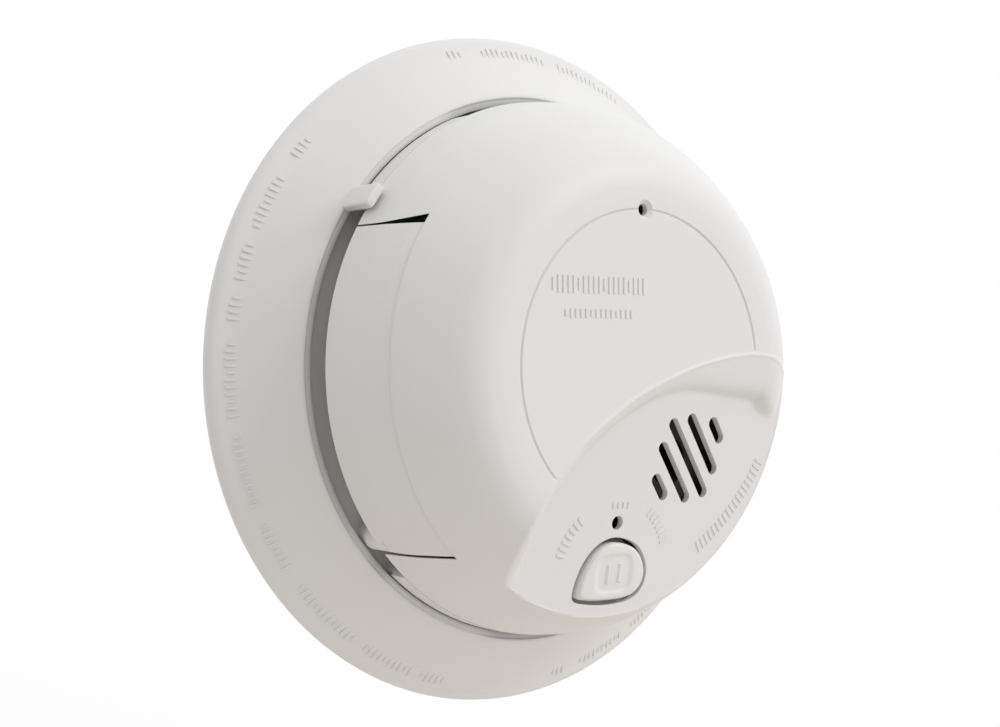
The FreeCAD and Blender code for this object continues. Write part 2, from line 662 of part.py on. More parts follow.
def makeHorn():
    centre = ("size.horn_u", "size.horn_v")
    legs = []
    for number, angle in enumerate((60.0, 180.0, 300.0)):
        x, y = polar(12.8, angle)
        legs.append(cylinder("horn_leg_%d" % number, "1.4", "size.horn_low - size.board_top + 1",
                             (centre[0] + " + " + text(x), centre[1] + " + " + text(y),
                              "size.board_top")))
    cup = cylinder("horn_cup", "size.horn_radius", "size.horn_top - size.horn_low",
                   centre + ("size.horn_low",))
    tools = fuse("horn_tools", [
        cylinder("horn_cavity", "size.horn_radius - 1", "7", centre + ("size.horn_low + 2.2",)),
        cylinder("horn_throat", "5", "20", centre + ("size.horn_low + 3",)),
        cylinder("horn_below", "size.horn_radius - 2.6", "10", centre + ("size.horn_low - 2",))])
    finish(fuse("horn_solid", [cut("horn_cut", cup, tools)] + legs), "horn_housing")
    finish(cylinder("piezo", "size.horn_radius - 1.2", "0.4", centre + ("size.horn_low + 2.2",)),
           "piezo_disc")
    strips = []
    for number, across in enumerate((0.0, 5.0, 9.0)):
        strips.append(box("horn_strip_%d" % number, "1.2", "0.4",
                          "size.horn_low + 2.1 - size.board_top",
                          ("size.horn_u - %s" % text(across), "size.horn_v", "size.board_top")))
    finish(fuse("horn_strips", strips), "horn_contacts")


def makeLights():
    finish(cylinder("alarm_led_body", "1.5", "3.6",
                    ("size.alarm_light_u", "size.alarm_light_v", "size.board_top")), "alarm_led")
    finish(cylinder("power_led_body", "1.5", "3.6", ("0", "size.power_light_v", "size.board_top")),
           "power_led")
    finish(cylinder("alarm_pipe", "size.alarm_light_hole - 0.15", "22",
                    ("size.alarm_light_u", "size.alarm_light_v", "13.6")), "alarm_light_pipe")
    finish(cylinder("power_pipe", "size.power_light_hole - 0.15", "31.3",
                    ("0", "size.power_light_v", "13.6")), "power_light_pipe")


def makeElectronics():
    finish(box("chip", "20", "7", "3.6", ("-30", "-12", "size.board_top")), "alarm_ic")
    finish(box("film", "12", "5", "10", ("-20", "33.5", "size.board_top")), "film_capacitor")
    cans = []
    for number, (x, y) in enumerate([(-18.0, 4.0), (-27.0, 6.0)]):
        cans.append(cylinder("can_%d" % number, "3.1", "5.2", (text(x), text(y), "size.board_top")))
    finish(fuse("can_pair", cans), "electrolytic_capacitors")
    resistors = []
    diodes = []
    for number in range(5):
        across = text(-36.0 + 4.0 * number)
        resistors.append(box("resistor_%d" % number, "2.2", "6", "2.2",
                             (across, "14", "size.board_top")))
        diodes.append(box("diode_%d" % number, "2.4", "4", "2.2",
                          (across, "-20", "size.board_top")))
    finish(fuse("resistor_row", resistors), "resistors")
    finish(fuse("diode_row", diodes), "diodes")
    foot = box("switch_foot", "3", "0.6", "11", ("size.button_u - 1.5", "-44.6", "size.board_top"))
    leaf = box("switch_leaf", "3", "8", "0.4", ("size.button_u - 1.5", "-44.6", "20"))
    finish(fuse("switch_solid", [foot, leaf]), "test_contact")


def makeSocket():
    corner = ("size.socket_u - size.socket_wide / 2", "size.socket_v - size.socket_tall / 2")
    shell = box("socket_shell", "size.socket_wide", "size.socket_tall", "6.8", corner + ("1.2",))
    pocket = box("socket_pocket", "size.socket_wide - 3", "size.socket_tall - 3", "6.3",
                 ("size.socket_u - size.socket_wide / 2 + 1.5",
                  "size.socket_v - size.socket_tall / 2 + 1.5", "0"))
    pins = []
    holes = [pocket]
    for number, side in enumerate((-1, 0, 1)):
        across = "size.socket_u + %s * size.pin_gap" % text(side)
        pins.append(cylinder("power_pin_%d" % number, "0.6", "8.6", (across, "size.socket_v", "2.4")))
        holes.append(cylinder("socket_pin_hole_%d" % number, "0.65", "6",
                              (across, "size.socket_v", "5")))
    finish(cut("socket_cut", shell, fuse("socket_holes", holes)), "power_socket")
    finish(fuse("power_pin_row", pins), "connector_pins")
    finish(ringSector("label_strip", "31", "43", "size.floor_low - 0.25", "0.2", "190", "70"),
           "rear_label")


makeBracket()
makeBase()
domeSkin = makeCover()
makeDrawer(domeSkin)
makeBattery()
makeButton()
makeBoard()
makeScrews()
makeChamber()
makeHorn()
makeLights()
makeElectronics()
makeSocket()
document.recompute()

for item in document.Objects:
    if "Invalid" in item.State or "Error" in item.State:
        raise RuntimeError("%s did not rebuild: %s" % (item.Name, item.State))
os.makedirs("parts", exist_ok=True)
for item in finished:
    if item.Shape.isNull() or not item.Shape.isValid():
        raise RuntimeError(item.Label + " is not a sound shape")
    item.Shape.exportStep(os.path.join("parts", item.Label + ".step"))
    print("%-26s volume %9.1f mm3, solids %d" % (item.Label, item.Shape.Volume,
                                                 len(item.Shape.Solids)))
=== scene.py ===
import bpy
import json
import numpy as np
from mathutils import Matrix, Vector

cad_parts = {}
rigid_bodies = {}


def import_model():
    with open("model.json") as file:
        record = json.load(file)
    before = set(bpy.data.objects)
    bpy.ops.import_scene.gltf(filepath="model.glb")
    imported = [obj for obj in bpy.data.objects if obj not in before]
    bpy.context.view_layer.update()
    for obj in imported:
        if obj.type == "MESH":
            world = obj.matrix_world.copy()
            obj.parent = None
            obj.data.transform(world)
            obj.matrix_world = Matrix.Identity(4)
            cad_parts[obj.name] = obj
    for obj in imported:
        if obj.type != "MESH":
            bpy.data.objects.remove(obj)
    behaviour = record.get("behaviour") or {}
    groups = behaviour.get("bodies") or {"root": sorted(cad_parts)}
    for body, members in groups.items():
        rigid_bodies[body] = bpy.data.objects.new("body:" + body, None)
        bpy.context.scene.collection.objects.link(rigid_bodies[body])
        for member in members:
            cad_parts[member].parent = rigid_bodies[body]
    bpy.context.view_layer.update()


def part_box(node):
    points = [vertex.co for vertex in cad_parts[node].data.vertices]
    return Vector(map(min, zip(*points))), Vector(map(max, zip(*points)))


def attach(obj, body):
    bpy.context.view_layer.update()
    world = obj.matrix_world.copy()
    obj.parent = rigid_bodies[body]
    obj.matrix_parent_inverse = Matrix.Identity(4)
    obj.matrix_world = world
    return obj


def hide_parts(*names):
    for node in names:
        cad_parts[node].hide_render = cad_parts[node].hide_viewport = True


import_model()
print("frame loaded")

# Lengths below are millimetres: across to the right, up, and out from the wall.
# Angles are degrees, anticlockwise from the right when the front is faced.

dome = {
    "profile": [(54.92, 20.05), (54.3, 24.0), (53.6, 28.0), (52.6, 30.5), (51.4, 33.0),
                (50.0, 35.4), (48.2, 37.9), (46.4, 40.1), (44.7, 42.1), (42.9, 44.0),
                (40.8, 45.8), (38.2, 47.1), (35.6, 47.65), (33.0, 47.8)],
    "thickness": 1.4,
    "columns": 400,
    "grooveRadius": 30.5,
    "grooveDepth": 0.35,
    "openingFrom": 160.0,
    "openingTo": 218.7,
    "openingTop": 34.9,
    "hinge": (-41.1, -32.2),
    "hingeRelief": 3.2,
    "upperSlit": [(-60.0, 27.1), (-46.7, 27.1), (-41.5, 28.4), (-34.0, 28.4), (-34.0, 0.0),
                  (-60.0, 0.0)],
    "lowerSlit": [(-42.8, -35.4), (-35.0, -35.4), (-35.0, -27.0), (-42.8, -27.0)],
}
scoop = {
    "brow": [(60.0, -9.0), (50.0, -6.0), (43.0, -2.6), (37.5, 1.2), (31.4, 2.3), (24.2, 1.9),
             (14.7, 0.1), (7.1, -2.3), (-1.8, -5.8), (-8.8, -9.8), (-14.9, -13.9),
             (-20.2, -19.1), (-24.9, -24.5), (-27.4, -30.5), (-27.5, -37.4), (-26.4, -42.5),
             (-24.0, -50.0), (-22.0, -60.0)],
    "bandNarrow": 2.7,
    "bandWide": 8.0,
    "bandDrop": 1.5,
    "stepSlope": 2.4,
    "floorLevel": 45.8,
    "floorSlope": 0.194,
    "floorCrown": 0.0009,
    "edgeRound": 0.14,
    "lip": 0.2,
}
holes = {
    "grilleMiddle": (16.9, -18.4),
    "grilleLean": -52.3,
    "grilleSlots": [(-9.0, 6.4), (-4.5, 15.5), (0.0, 20.4), (4.5, 15.6), (9.0, 6.4)],
    "grilleWidth": 2.5,
    "alarmLight": (-0.5, -30.5, 1.4),
    "powerLight": (0.0, 30.5, 1.15),
    "powerLightRim": 2.05,
    "buttonGap": 1.0,
}
button = {
    "outline": [(-0.8, -34.4), (-5.1, -36.0), (-7.9, -39.7), (-9.0, -44.4), (-6.2, -45.6),
                (0.0, -46.0), (5.0, -45.6), (7.6, -43.4), (7.8, -39.9), (4.9, -36.0)],
    "middle": (-0.5, -40.2),
    "rise": 0.8,
    "crown": 0.4,
    "dishWide": 4.4,
    "dishTall": 3.7,
    "dishDepth": 0.5,
    "ribHeight": 0.35,
}
bracket = {
    "profile": [(30.0, 0.0), (56.4, 0.0), (56.4, 12.6), (57.2, 12.2), (64.2, 5.9), (67.0, 4.2),
                (67.8, 3.0), (67.4, 0.0), (69.0, 0.0), (69.8, 0.35), (70.5, 1.1), (70.9, 1.9),
                (71.0, 2.7), (70.85, 3.5), (70.3, 4.3), (69.5, 4.9), (68.6, 5.25), (67.2, 6.0),
                (65.9, 6.95), (64.6, 8.1), (61.0, 11.35), (57.9, 14.2), (57.2, 14.85),
                (56.75, 15.12), (56.5, 15.1), (56.35, 14.95), (56.1, 14.9), (55.2, 14.9),
                (55.0, 14.7), (55.0, 2.0), (30.0, 2.0)],
    "columns": 300,
    "lockAngle": 144.7,
    "lockArc": 5.2,
    "lockInner": 55.3,
    "lockOuter": 57.3,
    "lockTop": 23.3,
    "tabAngles": [45.0, 165.0, 285.0],
    "screwSlots": 43.05,
}
marks = {
    "bandRadius": 67.15,
    "bandTall": 2.3,
    "height": 0.24,
    "ribWidth": 0.55,
    # start angle, end angle; ribs stand a little over a degree apart
    "bandGroups": [(138.5, 142.0), (147.0, 156.5), (159.5, 166.0), (168.5, 173.0), (176.0, 188.0),
                   (191.0, 203.5), (206.5, 215.0), (219.0, 233.0), (236.0, 246.5), (249.0, 254.0),
                   (102.0, 105.0), (64.0, 80.0), (83.0, 97.5), (279.0, 282.0), (286.0, 297.0),
                   (300.0, 309.0)],
    # left, right, middle height and rib length of each row on the face
    "faceRows": [(-23.0, 0.5, 15.6, 3.2), (-20.0, -3.0, 10.2, 1.6)],
    # arcs of ribs on the sunk floor: centre, radius, start, end, rib length
    "floorArcs": [((-0.5, -40.2), 14.2, 132.0, 168.0, 2.0), ((-0.5, -40.2), 14.2, 22.0, 58.0, 2.0),
                  ((-0.5, -40.2), 13.3, 80.0, 101.0, 1.1),
                  ((0.0, 0.0), 43.6, 302.0, 333.0, 2.6)],
}
battery = {
    "corner": 2.4,
    "wrap": (0.045, 0.047, 0.055),
    "band": (0.55, 0.27, 0.12),
    "bandFrom": 0.008,
}
boardRows = {
    "resistors": {"count": 5, "first": -34.9, "step": 4.0, "low": 14.0, "length": 6.0, "radius": 1.1,
                  "level": 10.7, "waist": 0.82},
    "diodes": {"count": 5, "first": -34.8, "step": 4.0, "low": -20.0, "length": 4.0, "radius": 1.1,
               "level": 10.7, "waist": 0.99},
}
camera = {
    "location": (-198.513, -263.247, -0.687),
    "turn": (90.3107, 0.2353, -37.1438),
    "lens": 54.45,
}
light = {
    "brightWay": (0.46, 0.28, 0.84),
    "dimmest": 0.33,
    "dimTint": (1.0, 0.92, 0.86, 1),
    "keyPlace": (0.45, -0.72, 0.53),
    "keyTurn": (58, 0, 32),
    "keySize": 0.35,
    "keyPower": 2.5,
}
paint = {
    "offWhite": (0.775, 0.772, 0.768),
    "buttonWhite": (0.785, 0.78, 0.775),
}


# Across, up, out in millimetres to the row's metres.
def toRow(points):
    across, up, out = np.moveaxis(np.asarray(points, float), -1, 0)
    return np.stack([across, -out, up], -1) * 0.001


def makePiece(name, points, faces):
    mesh = bpy.data.meshes.new(name)
    mesh.from_pydata(toRow(points).tolist(), [], [list(map(int, face)) for face in faces])
    mesh.validate()
    mesh.shade_smooth()
    piece = bpy.data.objects.new(name, mesh)
    bpy.context.scene.collection.objects.link(piece)
    return piece


# Turn every face round if the closed surface encloses a negative volume.
def outward(points, faces):
    flat = points[[face[0] for face in faces]]
    middle = points[[face[1] for face in faces]]
    last = points[[face[2] for face in faces]]
    volume = np.einsum("ij,ij->i", flat, np.cross(middle, last)).sum()
    for face in faces:
        if len(face) == 4:
            a, b, c = points[face[0]], points[face[2]], points[face[3]]
            volume += np.dot(a, np.cross(b, c))
    return faces if volume > 0 else [tuple(reversed(face)) for face in faces]


# Quads of a grid whose columns close on themselves.
def gridFaces(rows, columns, closedRows):
    faces = []
    for row in range(rows if closedRows else rows - 1):
        nextRow = (row + 1) % rows
        for column in range(columns):
            nextColumn = (column + 1) % columns
            faces.append((row * columns + column, row * columns + nextColumn,
                          nextRow * columns + nextColumn, nextRow * columns + column))
    return faces


# Rings of points closed at both ends with a pole.
def cappedSurface(rings):
    rows, columns = rings.shape[:2]
    first, last = rows * columns, rows * columns + 1
    points = np.concatenate([rings.reshape(-1, 3), rings[0].mean(0)[None], rings[-1].mean(0)[None]])
    faces = gridFaces(rows, columns, False)
    for column in range(columns):
        nextColumn = (column + 1) % columns
        faces.append((first, nextColumn, column))
        faces.append((last, (rows - 1) * columns + column, (rows - 1) * columns + nextColumn))
    return points, outward(points, faces)


# Rings of points joined round and end to start.
def closedTube(rings):
    rows, columns = rings.shape[:2]
    points = rings.reshape(-1, 3)
    return points, outward(points, gridFaces(rows, columns, True))


# Several closed surfaces as one list of points and faces.
def joined(parts):
    allPoints, allFaces, start = [], [], 0
    for points, faces in parts:
        allPoints.append(points)
        allFaces.extend(tuple(index + start for index in face) for face in faces)
        start += len(points)
    return np.concatenate(allPoints), allFaces


# A curve through the knots: each span is a cubic whose end slopes are half the
# difference of the neighbouring knots; count points at equal steps along it.
def smoothLine(knots, count, closed=False):
    knots = np.array(knots, float)
    if closed:
        padded = np.concatenate([knots[-1:], knots, knots[:2]])
    else:
        padded = np.concatenate([2 * knots[:1] - knots[1:2], knots, 2 * knots[-1:] - knots[-2:-1]])
    t = np.linspace(0, 1, 24, endpoint=False)[:, None]
    spans = []
    for before, start, end, after in zip(padded, padded[1:], padded[2:], padded[3:]):
        spans.append(0.5 * (2 * start + (end - before) * t
                            + (2 * before - 5 * start + 4 * end - after) * t ** 2
                            + (3 * start - before - 3 * end + after) * t ** 3))
    curve = np.concatenate(spans + [padded[-2][None]])
    along = np.concatenate([[0], np.cumsum(np.linalg.norm(np.diff(curve, axis=0), axis=1))])
    steps = np.linspace(0, along[-1], count, endpoint=not closed)
    return np.stack([np.interp(steps, along, curve[:, 0]), np.interp(steps, along, curve[:, 1])], -1)


# Turn a section of radius and height about the out axis.
def polarRings(profile, columns, angles=None):
    if angles is None:
        angles = np.arange(columns) * 2 * np.pi / columns
    radius, height = profile[:, 0, None], profile[:, 1, None]
    return np.stack([radius * np.cos(angles), radius * np.sin(angles),
                     height + 0 * angles], -1)


# A straight closed solid on a closed outline.
def prism(outline, low, high):
    rings = [np.column_stack([outline, np.full(len(outline), level)]) for level in (low, high)]
    return cappedSurface(np.array(rings))


def circle(across, up, radius, count=40):
    turn = np.arange(count) * 2 * np.pi / count
    return np.stack([across + radius * np.cos(turn), up + radius * np.sin(turn)], -1)


# A curved block between two radii and two angles.
def wedge(startAngle, endAngle, inner, outer, low, high, count=40):
    turn = np.radians(np.linspace(startAngle, endAngle, count))
    ring = np.stack([np.cos(turn), np.sin(turn)], -1)
    return prism(np.concatenate([ring * outer, ring[::-1] * inner]), low, high)


# A small raised bar along a line of points.
def bar(line, sideways, upward, width, height, sink=0.2):
    corners = [(-0.5, -sink), (0.5, -sink), (0.36, height), (-0.36, height)]
    rings = [[point + side * width * s + top * u for s, u in corners]
             for point, side, top in zip(line, sideways, upward)]
    return cappedSurface(np.array(rings))


# Take closed surfaces out of a piece.
def cutWith(piece, parts):
    tool = makePiece(piece.name + "Tool", *joined(parts))
    change = piece.modifiers.new("cut", "BOOLEAN")
    change.operation = "DIFFERENCE"
    change.solver = "EXACT"
    change.object = tool
    graph = bpy.context.evaluated_depsgraph_get()
    cutMesh = bpy.data.meshes.new_from_object(piece.evaluated_get(graph))
    piece.modifiers.clear()
    piece.data = cutMesh
    bpy.data.objects.remove(tool)
    piece.data.shade_smooth()


# Keep edges steeper than this crisp.
def sharpen(piece, degrees):
    piece.data.set_sharp_from_angle(angle=np.radians(degrees))


browCurve = smoothLine(scoop["brow"], 420)


# Distance inside the brow, negative above it.
def browDistance(across, up):
    points = np.stack([across, up], -1).reshape(-1, 1, 2)
    starts, ends = browCurve[:-1], browCurve[1:]
    spans = ends - starts
    result = np.empty(len(points))
    for begin in range(0, len(points), 4000):
        chunk = points[begin:begin + 4000]
        share = ((chunk - starts) * spans).sum(-1) / (spans ** 2).sum(-1)
        share = np.clip(share, 0, 1)
        offset = chunk - (starts + share[..., None] * spans)
        gap = np.linalg.norm(offset, axis=-1)
        nearest = gap.argmin(1)
        pick = np.arange(len(chunk))
        side = (spans[nearest, 0] * offset[pick, nearest, 1]
                - spans[nearest, 1] * offset[pick, nearest, 0])
        result[begin:begin + 4000] = np.where(side > 0, gap[pick, nearest], -gap[pick, nearest])
    return result.reshape(across.shape)


# The larger of two, rounded over where they meet: half their sum plus half the
# root of their squared difference and the blend.
def softMax(a, b, blend):
    return 0.5 * (a + b + np.sqrt((a - b) ** 2 + blend ** 2))


def softMin(a, b, blend):
    return -softMax(-a, -b, blend)


# Dome height less the band's gentle drop and the steep step, never below the floor,
# plus a fine raised lip along the edge.
def faceHeight(across, up, domeHeight):
    distance = browDistance(across, up)
    share = np.clip((across - 4) / 28, 0, 1)
    ease = share ** 2 * (3 - 2 * share)
    band = scoop["bandNarrow"] + (scoop["bandWide"] - scoop["bandNarrow"]) * ease
    start = softMax(distance, 0 * distance, scoop["edgeRound"])
    step = softMax(distance - band, 0 * band, 1.4) - softMax(-band, 0 * band, 1.4)
    drop = scoop["bandDrop"] * start / band + scoop["stepSlope"] * np.maximum(step, 0)
    floor = np.minimum(floorHeight(across, up), domeHeight)
    depth = domeHeight - floor
    sunk = softMin(drop, depth, 0.5) * np.clip(depth / 0.5, 0, 1)
    lowered = domeHeight - np.where(distance > 0, sunk, 0)
    lip = scoop["lip"] * np.exp(-((distance + 0.25) / 0.35) ** 2) * np.clip(depth - 0.3, 0, 1)
    return np.where(distance > 0, np.minimum(lowered, domeHeight), domeHeight) + lip


# Rings of the dome; where the ring is in the sunk part its height is lowered.
def domeRows(radii, heights, angles):
    across = radii[:, None] * np.cos(angles)
    up = radii[:, None] * np.sin(angles)
    base = heights[:, None] + 0 * angles
    lowered = faceHeight(across, up, base)
    return np.stack([across, up, np.where(base > 31.0, lowered, base)], -1)


def makeCover():
    curve = smoothLine(dome["profile"], 120)
    curve = np.concatenate([curve[:60:2], curve[60:]])  # finer where the brow crosses
    inward = np.stack([np.gradient(curve[:, 1]), -np.gradient(curve[:, 0])], -1)
    inward /= np.linalg.norm(inward, axis=1)[:, None]
    centreRadii = np.concatenate([np.linspace(32.4, 31.0, 3), [30.8, 30.62, 30.5, 30.38, 30.2],
                                  np.linspace(29.9, 0.5, 92)])
    outerRadii = np.concatenate([curve[:, 0], centreRadii])
    outerHeights = np.concatenate([curve[:, 1], np.full(len(centreRadii), 47.8)])
    turn = np.radians(np.linspace(-180, 180, 3601))
    crowd = np.cumsum(1 + 2.2 * np.exp(-(turn / 0.16) ** 2))  # columns crowd where the brow is radial
    angles = np.interp(np.arange(dome["columns"]) / dome["columns"], crowd / crowd[-1], turn)
    outer = domeRows(outerRadii, outerHeights, angles)
    groove = dome["grooveDepth"] * np.exp(-((outerRadii - dome["grooveRadius"]) / 0.16) ** 2)
    sunk = browDistance(outer[..., 0], outer[..., 1]) > -1.0
    outer[..., 2] -= np.where(sunk, 0, groove[:, None])
    lining = curve - inward * dome["thickness"]
    lining[:, 1] = np.maximum(lining[:, 1], 20.05)
    innerRadii = np.concatenate([lining[::4, 0], np.linspace(30, 0.5, 16)])
    innerHeights = np.concatenate([lining[::4, 1], np.full(16, 45.8)])
    inner = domeRows(innerRadii, innerHeights + dome["thickness"], angles)
    inner[..., 2] -= dome["thickness"]
    rings = np.concatenate([inner[::-1], outer])
    cover = makePiece("cover", *cappedSurface(rings))
    print("dome surface made")

    tools = []
    lean = np.radians(holes["grilleLean"])
    along = np.array([np.cos(lean), np.sin(lean)])
    side = np.array([-along[1], along[0]])
    half = holes["grilleWidth"] / 2
    turn = np.linspace(-np.pi / 2, np.pi / 2, 12)
    for offset, length in holes["grilleSlots"]:
        centre = np.array(holes["grilleMiddle"]) + side * offset
        reach = length / 2 - half
        cap = np.stack([reach + half * np.cos(turn), half * np.sin(turn)], -1)
        outline = np.concatenate([cap, -cap])
        tools.append(prism(centre + outline @ np.array([along, side]), 30, 60))
    outline = smoothLine(button["outline"], 80, closed=True)
    away = outline - np.array(button["middle"])
    opened = outline + holes["buttonGap"] * away / np.linalg.norm(away, axis=1)[:, None]
    tools.append(prism(opened, 30, 60))
    tools.append(prism(circle(*holes["alarmLight"]), 30, 60))
    across, up, radius = holes["powerLight"]
    sink = np.array([[radius, 40], [radius, 47.1], [holes["powerLightRim"], 47.9],
                     [holes["powerLightRim"], 52]])
    rings = polarRings(sink, 40)
    tools.append(cappedSurface(rings + np.array([across, up, 0])))
    tools.append(wedge(dome["openingFrom"], dome["openingTo"], 40, 60, 10, dome["openingTop"]))
    cutWith(cover, tools)
    cutWith(cover, [prism(circle(*dome["hinge"], dome["hingeRelief"]), 10, dome["openingTop"])])
    cutWith(cover, [prism(np.array(dome["upperSlit"]), 10, dome["openingTop"])])
    cutWith(cover, [prism(np.array(dome["lowerSlit"]), 10, dome["openingTop"])])
    sharpen(cover, 40)
    return cover


def makeBracket():
    section = np.array(bracket["profile"])
    ring = makePiece("bracketRing", *closedTube(polarRings(section, bracket["columns"])))
    tools = []
    for side in (-1, 1):
        turn = np.linspace(-np.pi / 2, np.pi / 2, 14)
        cap = np.stack([1.7 + 2.3 * np.cos(turn), 2.3 * np.sin(turn)], -1)
        outline = np.concatenate([cap, -cap]) + np.array([side * bracket["screwSlots"], 0])
        tools.append(prism(outline, -2, 4))
    cutWith(ring, tools)
    sharpen(ring, 50)
    # the locking tab: a block whose section is a squarish oval, drawn in at the top
    turn = np.radians(np.linspace(0, 360, 64, endpoint=False))
    corner = np.sign(np.cos(turn)) * np.abs(np.cos(turn)) ** 0.35
    side = np.sign(np.sin(turn)) * np.abs(np.sin(turn)) ** 0.35
    radius = (bracket["lockInner"] + bracket["lockOuter"]) / 2
    reach = (bracket["lockOuter"] - bracket["lockInner"]) / 2
    top = bracket["lockTop"]
    rings = []
    for share, level in ((1, 2.0), (1, top - 0.5), (0.96, top - 0.2), (0.85, top - 0.03), (0.7, top)):
        angle = np.radians(bracket["lockAngle"] + side * share * bracket["lockArc"] / 2)
        out = radius + corner * share * reach
        rings.append(np.stack([out * np.cos(angle), out * np.sin(angle), 0 * out + level], -1))
    parts = [cappedSurface(np.array(rings))]
    for tab in bracket["tabAngles"]:
        parts.append(wedge(tab - 8, tab + 8, 51.6, 55.4, 8, 10, 16))
        parts.append(wedge(tab - 10, tab - 8, 51.6, 55.4, 5, 10, 6))
    fittings = makePiece("bracketFittings", *joined(parts))
    sharpen(fittings, 40)
    return ring, fittings


# One short raised bar centred on a point, lying along a direction.
def rib(middle, length, upward):
    along = length / 2 * np.array(upward[0])
    across = np.cross(upward[1], upward[0])
    line = [middle - along, middle - along * 0.6, middle + along * 0.6, middle + along]
    return bar(line, [across] * 4, [np.array(upward[1])] * 4, marks["ribWidth"], marks["height"])


def makeBandMarks():
    parts = []
    for start, end in marks["bandGroups"]:
        for number, angle in enumerate(np.arange(start, end, 1.15)):
            turn = np.radians(angle)
            ring = np.array([np.cos(turn), np.sin(turn), 0.0])
            middle = ring * marks["bandRadius"] + np.array([0, 0, 6.03])
            upward = (ring * 0.9 - np.array([0, 0, 0.436]), ring * 0.436 + np.array([0, 0, 0.9]))
            parts.append(rib(middle, marks["bandTall"] * (1.0 if number % 4 else 0.6), upward))
    piece = makePiece("bandMarks", *joined(parts))
    sharpen(piece, 30)
    return piece


def floorHeight(across, up):
    return scoop["floorLevel"] + scoop["floorSlope"] * up - scoop["floorCrown"] * across ** 2


def makeFaceMarks():
    parts = []
    out = np.array([0, 0, 1.0])
    for left, right, height, length in marks["faceRows"]:
        for number, across in enumerate(np.arange(left, right, 1.25)):
            middle = np.array([across, height, 47.8])
            size = length * (1.0 if number % 5 else 0.7)
            parts.append(rib(middle, size, (np.array([0, 1.0, 0]), out)))
    for centre, radius, start, end, length in marks["floorArcs"]:
        step = np.degrees(1.3 / radius)
        for angle in np.radians(np.arange(start, end, step)):
            across = centre[0] + radius * np.cos(angle)
            up = centre[1] + radius * np.sin(angle)
            tilt = np.array([0.0018 * across, -scoop["floorSlope"], 1.0])
            tilt /= np.linalg.norm(tilt)
            inward = np.array([np.cos(angle), np.sin(angle), 0.0])
            inward -= tilt * inward.dot(tilt)
            middle = np.array([across, up, floorHeight(across, up)])
            parts.append(rib(middle, length, (inward / np.linalg.norm(inward), tilt)))
    piece = makePiece("faceMarks", *joined(parts))
    sharpen(piece, 30)
    return piece


def makeButton():
    outline = smoothLine(button["outline"], 96, closed=True)
    middle = np.array(button["middle"])
    spread = outline - middle

    # Floor plane plus rise, crowned towards the middle, with a squarish dish that holds two ribs.
    def level(points, share):
        plane = scoop["floorLevel"] + scoop["floorSlope"] * points[:, 1] + button["rise"]
        crown = button["crown"] * (1 - share ** 2)
        across, up = np.abs(points - middle - np.array([0, -0.4])).T
        away = ((across / button["dishWide"]) ** 4 + (up / button["dishTall"]) ** 4) ** 0.25
        dish = button["dishDepth"] / (1 + np.exp((away - 1) / 0.05))
        ribs = button["ribHeight"] * np.exp(-((across - 1.5) / 0.4) ** 4) * (up < 1.9)
        return plane + crown - dish + ribs - 0.9 * np.maximum(share - 0.9, 0) ** 2 / 0.01

    rings = [np.column_stack([middle + spread * 0.98, np.full(96, 33.0)]),
             np.column_stack([middle + spread, np.full(96, 33.3)]),
             np.column_stack([outline, np.full(96, 35.0)])]
    for share in np.concatenate([[1.0, 0.985, 0.97, 0.95, 0.925, 0.9], np.linspace(0.86, 0.02, 34)]):
        points = middle + spread * share
        rings.append(np.column_stack([points, level(points, share)]))
    parts = [cappedSurface(np.array(rings))]
    length = np.linalg.norm(spread, axis=1)[:, None]
    parts.append(prism(outline + 1.8 * spread / length, 32.4, 33.6))
    parts.append(prism(circle(-0.5, -40.0, 2.5), 22.1, 33.0))
    piece = makePiece("button", *joined(parts))
    sharpen(piece, 50)
    return piece


# Block with rounded corners, its ends rounded over and marked by a fine groove;
# the section is a rectangle whose corners are quarter circles, carried upwards.
def makeBattery():
    low, high = np.array(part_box("battery_case")) * 1000
    left, right, bottom, top = low[0], high[0], low[2], high[2]
    back, front = -high[1], -low[1]
    corner = battery["corner"]
    turn = np.radians(np.arange(0, 90.1, 11.25))
    across, out = [], []
    for quarter, (x, y) in enumerate([(right - corner, front - corner), (left + corner, front - corner),
                                      (left + corner, back + corner), (right - corner, back + corner)]):
        angle = turn + quarter * np.pi / 2
        across.append(x + corner * np.cos(angle))
        out.append(y + corner * np.sin(angle))
    across, out = np.concatenate(across), np.concatenate(out)
    middle = np.array([(left + right) / 2, (back + front) / 2])
    ends = [(0, 0.7), (0.12, 0.3), (0.45, 0.05), (0.8, 0), (1.5, 0), (1.6, 0.16), (1.8, 0.16), (1.9, 0)]
    steps = [(bottom + rise, inset) for rise, inset in ends]
    steps += [(top - rise, inset) for rise, inset in reversed(ends)]
    rings = []
    for level, inset in steps:
        rings.append(np.stack([across - np.sign(across - middle[0]) * inset, 0 * across + level,
                               out - np.sign(out - middle[1]) * inset], -1))
    piece = makePiece("batteryBlock", *cappedSurface(np.array(rings)))
    sharpen(piece, 40)
    return piece


# Small turned bodies lying upwards on the board: radius times a swell that
# changes along the length.
def makeRow(name, row):
    share = np.array([0, 0.02, 0.07, 0.13, 0.24, 0.32, 0.68, 0.76, 0.87, 0.93, 0.98, 1])
    waist = row["waist"]
    swell = np.array([0.5, 0.8, 0.96, 1, 0.98, waist, waist, 0.98, 1, 0.96, 0.8, 0.5])[:, None]
    turn = np.arange(28) * 2 * np.pi / 28
    parts = []
    for number in range(row["count"]):
        middle = row["first"] + row["step"] * number
        rings = np.stack([middle + row["radius"] * swell * np.cos(turn),
                          row["low"] + row["length"] * share[:, None] + 0 * turn,
                          row["level"] + row["radius"] * swell * np.sin(turn)], -1)
        parts.append(cappedSurface(rings))
    piece = makePiece(name, *joined(parts))
    sharpen(piece, 60)
    return piece


